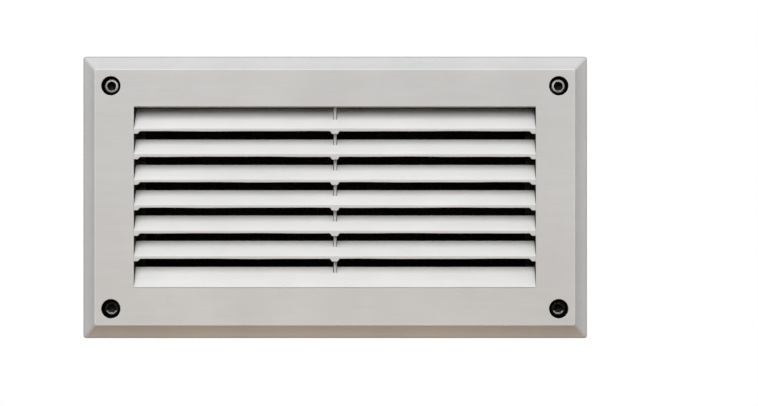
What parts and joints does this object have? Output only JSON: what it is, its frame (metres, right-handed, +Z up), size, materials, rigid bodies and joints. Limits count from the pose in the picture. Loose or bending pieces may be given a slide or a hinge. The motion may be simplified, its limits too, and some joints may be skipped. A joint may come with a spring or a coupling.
{
  "type": "louvred air grille",
  "caption": "Rectangular wall air grille: bevelled face with fixed sloping louvres, corner socket screws, insect mesh and filter, on a flanged duct sleeve.",
  "frame": {"origin": "centre of the grille in the plane of the wall's surface, which the sleeve's flange lies against", "axes": "+X to the right as seen from the front, +Y into the wall, +Z up; the louvred face looks along -Y"},
  "size_m": [0.254, 0.074, 0.142],
  "materials": {
    "grille_paint": "satin",
    "screw_steel": "satin",
    "washer_nylon": "matt",
    "insert_brass": "satin",
    "sleeve_plastic": "matt",
    "gasket_foam": "matt",
    "mesh_wire": "matt",
    "holder_plastic": "matt",
    "filter_foam": "matt"
  },
  "bodies": {
    "wall_fixing": {"wall_sleeve": "sleeve_plastic", "threaded_insert_top_left": "insert_brass", "threaded_insert_top_right": "insert_brass", "threaded_insert_bottom_left": "insert_brass", "threaded_insert_bottom_right": "insert_brass"},
    "face": {"face_frame": "grille_paint", "louvre_blade_1": "grille_paint", "louvre_blade_2": "grille_paint", "louvre_blade_3": "grille_paint", "louvre_blade_4": "grille_paint", "louvre_blade_5": "grille_paint", "louvre_blade_6": "grille_paint", "louvre_blade_7": "grille_paint", "centre_rib": "grille_paint", "rim_gasket": "gasket_foam", "insect_mesh": "mesh_wire", "screen_frame": "holder_plastic", "screen_screw_top_left": "screw_steel", "screen_screw_top_right": "screw_steel", "screen_screw_bottom_left": "screw_steel", "screen_screw_bottom_right": "screw_steel"},
    "filter": {"filter_pad": "filter_foam"},
    "washer_top_left": {"sealing_washer_top_left": "washer_nylon"},
    "screw_top_left": {"face_screw_top_left": "screw_steel"},
    "washer_top_right": {"sealing_washer_top_right": "washer_nylon"},
    "screw_top_right": {"face_screw_top_right": "screw_steel"},
    "washer_bottom_left": {"sealing_washer_bottom_left": "washer_nylon"},
    "screw_bottom_left": {"face_screw_bottom_left": "screw_steel"},
    "washer_bottom_right": {"sealing_washer_bottom_right": "washer_nylon"},
    "screw_bottom_right": {"face_screw_bottom_right": "screw_steel"}
  },
  "joints": [
    {"name": "face_lift_off", "type": "slide", "parent": "wall_fixing", "child": "face", "axis": [0, -1, 0], "range_m": [0, 0.06]},
    {"name": "filter_pull_out", "type": "slide", "parent": "face", "child": "filter", "axis": [0, 1, 0], "range_m": [0, 0.04]},
    {"name": "screw_top_left_travel", "type": "slide", "parent": "face", "child": "washer_top_left", "axis": [0, -1, 0], "range_m": [0, 0.012]},
    {"name": "screw_top_left_turn", "type": "hinge", "parent": "washer_top_left", "child": "screw_top_left", "pos_m": [-0.112, -0.0065, 0.05575], "axis": [0, -1, 0], "range_deg": [0, 5400]},
    {"name": "screw_top_right_travel", "type": "slide", "parent": "face", "child": "washer_top_right", "axis": [0, -1, 0], "range_m": [0, 0.012]},
    {"name": "screw_top_right_turn", "type": "hinge", "parent": "washer_top_right", "child": "screw_top_right", "pos_m": [0.112, -0.0065, 0.05575], "axis": [0, -1, 0], "range_deg": [0, 5400]},
    {"name": "screw_bottom_left_travel", "type": "slide", "parent": "face", "child": "washer_bottom_left", "axis": [0, -1, 0], "range_m": [0, 0.012]},
    {"name": "screw_bottom_left_turn", "type": "hinge", "parent": "washer_bottom_left", "child": "screw_bottom_left", "pos_m": [-0.112, -0.0065, -0.05575], "axis": [0, -1, 0], "range_deg": [0, 5400]},
    {"name": "screw_bottom_right_travel", "type": "slide", "parent": "face", "child": "washer_bottom_right", "axis": [0, -1, 0], "range_m": [0, 0.012]},
    {"name": "screw_bottom_right_turn", "type": "hinge", "parent": "washer_bottom_right", "child": "screw_bottom_right", "pos_m": [0.112, -0.0065, -0.05575], "axis": [0, -1, 0], "range_deg": [0, 5400]}
  ],
  "couplings": [
    {"joint": "screw_top_left_turn", "follows": "screw_top_left_travel", "rad_per_m": 7854},
    {"joint": "screw_top_right_turn", "follows": "screw_top_right_travel", "rad_per_m": 7854},
    {"joint": "screw_bottom_left_turn", "follows": "screw_bottom_left_travel", "rad_per_m": 7854},
    {"joint": "screw_bottom_right_turn", "follows": "screw_bottom_right_travel", "rad_per_m": 7854}
  ]
}
